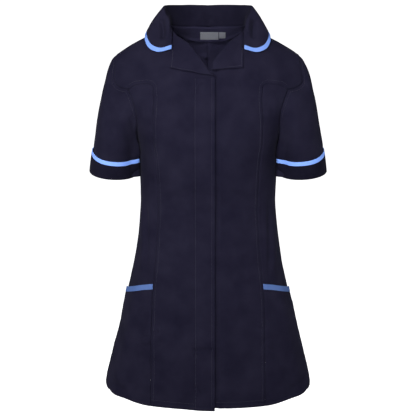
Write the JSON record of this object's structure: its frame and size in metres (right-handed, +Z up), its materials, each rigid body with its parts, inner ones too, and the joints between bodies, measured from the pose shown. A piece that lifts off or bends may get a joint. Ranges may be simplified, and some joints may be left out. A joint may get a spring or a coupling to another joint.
{
  "type": "work tunic",
  "caption": "Women's short-sleeved work tunic in navy with pale blue bands: revere collar, covered front fastening, hip pockets, turned-up cuffs, flared skirt, hollow as worn.",
  "frame": {"origin": "between the shoulders, in the middle, at the height of the neck points, where the wearer's shoulders hold the tunic up", "axes": "+Z up, -Y the way the front faces, +X to the wearer's left"},
  "size_m": [0.472, 0.2895, 0.7822],
  "materials": {
    "navy_cloth": "dark navy twill, matt",
    "blue_band": "sky-blue twill, matt",
    "grey_label": "light grey woven label, bare"
  },
  "bodies": {
    "root": {"centre_front_right": "navy_cloth", "centre_front_left": "navy_cloth", "side_front_right": "navy_cloth", "side_front_left": "navy_cloth", "back_right": "navy_cloth", "back_left": "navy_cloth", "sleeve_right": "navy_cloth", "sleeve_left": "navy_cloth", "cuff_right": "navy_cloth", "cuff_left": "navy_cloth", "cuff_trim_right": "blue_band", "cuff_trim_left": "blue_band", "collar": "navy_cloth", "collar_trim": "blue_band", "lapel_right": "navy_cloth", "lapel_left": "navy_cloth", "placket": "navy_cloth", "pocket_right": "navy_cloth", "pocket_left": "navy_cloth", "pocket_trim_right": "blue_band", "pocket_trim_left": "blue_band", "neck_facing": "navy_cloth", "neck_label": "grey_label", "size_tab": "grey_label"}
  },
  "joints": []
}
